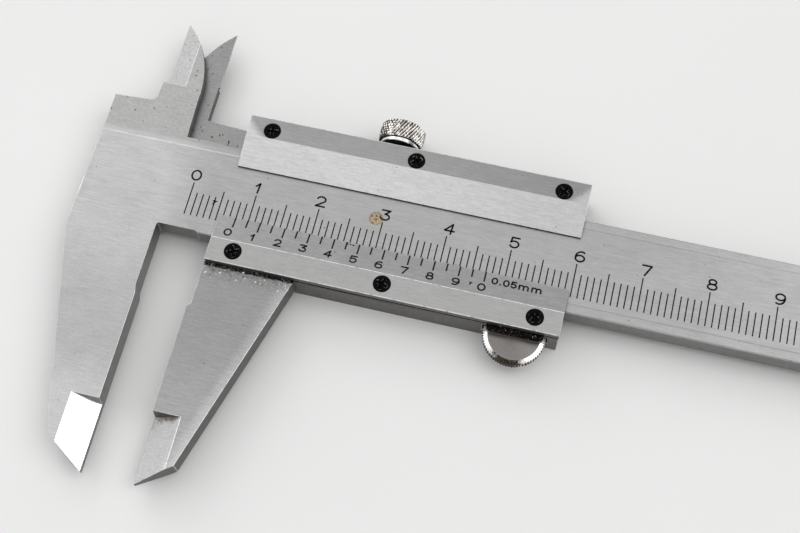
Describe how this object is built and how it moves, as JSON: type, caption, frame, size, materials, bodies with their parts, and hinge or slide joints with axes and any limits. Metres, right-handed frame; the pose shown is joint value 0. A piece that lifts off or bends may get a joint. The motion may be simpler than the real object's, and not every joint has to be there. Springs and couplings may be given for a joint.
{
  "type": "vernier caliper",
  "caption": "Hand caliper with a graduated beam, sliding jaw frame, vernier plate, thumb wheel, lock screw and depth bar, for outside, inside and depth measuring.",
  "frame": {"origin": "middle of the fixed outside jaw's measuring face, at half the thickness of the jaw", "axes": "+X along the beam from the fixed jaw towards its free end, +Y across the beam towards the inside jaws, +Z out of the scale face"},
  "size_m": [0.238, 0.0748, 0.0072],
  "materials": {
    "beam_steel": "satin chrome over ground steel",
    "slider_steel": "ground, slightly worn",
    "vernier_steel": "satin, warm grey bevel",
    "cover_steel": "satin, bright bevel",
    "screw_black": "black oxide",
    "knob_chrome": "bright plated, knurled",
    "wheel_steel": "turned face, bright knurled rim",
    "inner_steel": "plain spring steel",
    "depth_steel": "ground",
    "pad_brass": "plain turned"
  },
  "bodies": {
    "beam": {"main_beam": "beam_steel", "end_stop_plate": "slider_steel", "end_stop_screw_lower": "screw_black", "end_stop_screw_upper": "screw_black"},
    "slider": {"slider_frame": "slider_steel", "vernier_plate": "vernier_steel", "vernier_plate_screws": "screw_black", "upper_plate": "cover_steel", "upper_plate_screws": "screw_black", "gib_strip": "inner_steel", "gib_screw_front": "inner_steel", "gib_screw_rear": "inner_steel", "thumb_wheel_pin": "inner_steel", "thumb_wheel_washer": "inner_steel", "depth_bar": "depth_steel", "depth_bar_rivet_front": "inner_steel", "depth_bar_rivet_rear": "inner_steel"},
    "thumb_wheel": {"thumb_wheel": "wheel_steel"},
    "lock_pad": {"lock_pad": "pad_brass"},
    "lock_screw": {"lock_screw": "knob_chrome"}
  },
  "joints": [
    {"name": "slider_slide", "type": "slide", "parent": "beam", "child": "slider", "axis": [1, 0, 0], "range_m": [-0.00809, 0.1438]},
    {"name": "thumb_wheel_spin", "type": "hinge", "parent": "slider", "child": "thumb_wheel", "pos_m": [0.05645, 0.01522, -0.00025], "axis": [0, 0, 1], "continuous": true},
    {"name": "lock_pad_slide", "type": "slide", "parent": "slider", "child": "lock_pad", "axis": [0, 1, 0], "range_m": [-0.0000486, 0.0005]},
    {"name": "lock_screw_turn", "type": "hinge", "parent": "lock_pad", "child": "lock_screw", "pos_m": [0.03255, 0.0435, 0], "axis": [0, 1, 0], "range_deg": [-36, 361]}
  ],
  "couplings": [
    {"joint": "thumb_wheel_spin", "follows": "slider_slide", "rad_per_m": 212.77},
    {"joint": "lock_screw_turn", "follows": "lock_pad_slide", "rad_per_m": 12566}
  ]
}
